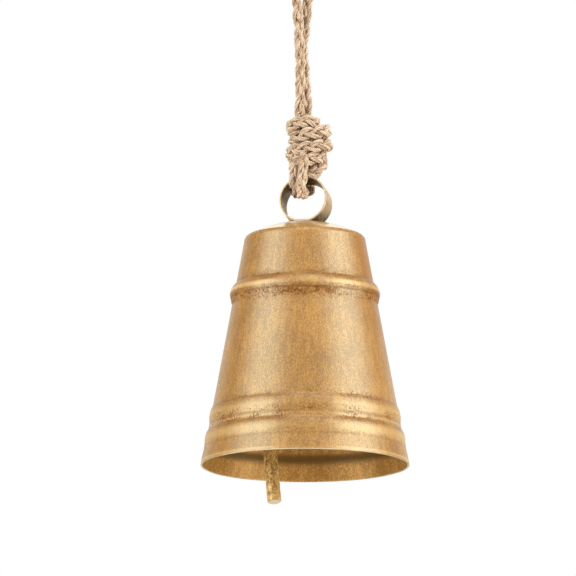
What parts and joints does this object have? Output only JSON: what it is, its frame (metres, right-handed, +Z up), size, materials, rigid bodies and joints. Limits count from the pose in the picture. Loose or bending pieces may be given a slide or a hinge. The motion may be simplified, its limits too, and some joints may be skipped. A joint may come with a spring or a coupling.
{
  "type": "hanging bell",
  "caption": "Tapered sheet-metal bell with rolled beads, hung by a strap ring from a knotted braided rope loop, with a rod clapper.",
  "frame": {"origin": "underside of the rope at the top of the hanging loop, where a hook carries it; the bell's axis runs straight down from it", "axes": "+Z up along the bell's axis, +X to the right of the front, +Y to the back; the front is the side where the clapper rod shows left of the middle"},
  "size_m": [0.0959, 0.0958, 0.2775],
  "materials": {
    "bell_paint": "satin antique-gold metallic paint, speckled, rubbed brown at the beads",
    "crown_paint": "satin antique-gold metallic paint, smoother and paler on the dome",
    "worn_strap": "aged brown-gold, rubbed and scratched, darker inside the ring",
    "rod_paint": "antique-gold paint over a rough bar, grainy and brown in its hollows",
    "wire": "dull drawn wire with light brown ageing",
    "jute_rope": "braided natural jute, matt, with loose fibres"
  },
  "bodies": {
    "rope": {"rope_hanging_loop": "jute_rope"},
    "knot": {"rope_knot": "jute_rope", "rope_turn_left": "jute_rope", "rope_turn_right": "jute_rope"},
    "bell": {"bell_skirt": "bell_paint", "crown_cap": "crown_paint", "strap_ring": "worn_strap", "clapper_staple": "wire"},
    "link": {"clapper_link": "wire"},
    "clapper": {"clapper_rod": "rod_paint"}
  },
  "joints": [
    {"name": "rope_sway", "type": "hinge", "parent": "rope", "child": "knot", "pos_m": [-0.0009, 0, -0.09758], "axis": [0.9736, -0.2284, 0], "range_deg": [-15, 15]},
    {"name": "bell_swing", "type": "hinge", "parent": "knot", "child": "bell", "pos_m": [0.0004, 0, -0.13078], "axis": [0.2262, 0.9646, -0.1357], "range_deg": [-35, 35]},
    {"name": "clapper_link_swing", "type": "hinge", "parent": "bell", "child": "link", "pos_m": [0, 0, -0.14958], "axis": [0, 1, 0], "range_deg": [-26, 11]},
    {"name": "clapper_rod_swing", "type": "hinge", "parent": "link", "child": "clapper", "pos_m": [-0.01911, 0, -0.21065], "axis": [0.9966, 0, 0.0819], "range_deg": [-16, 36]}
  ]
}
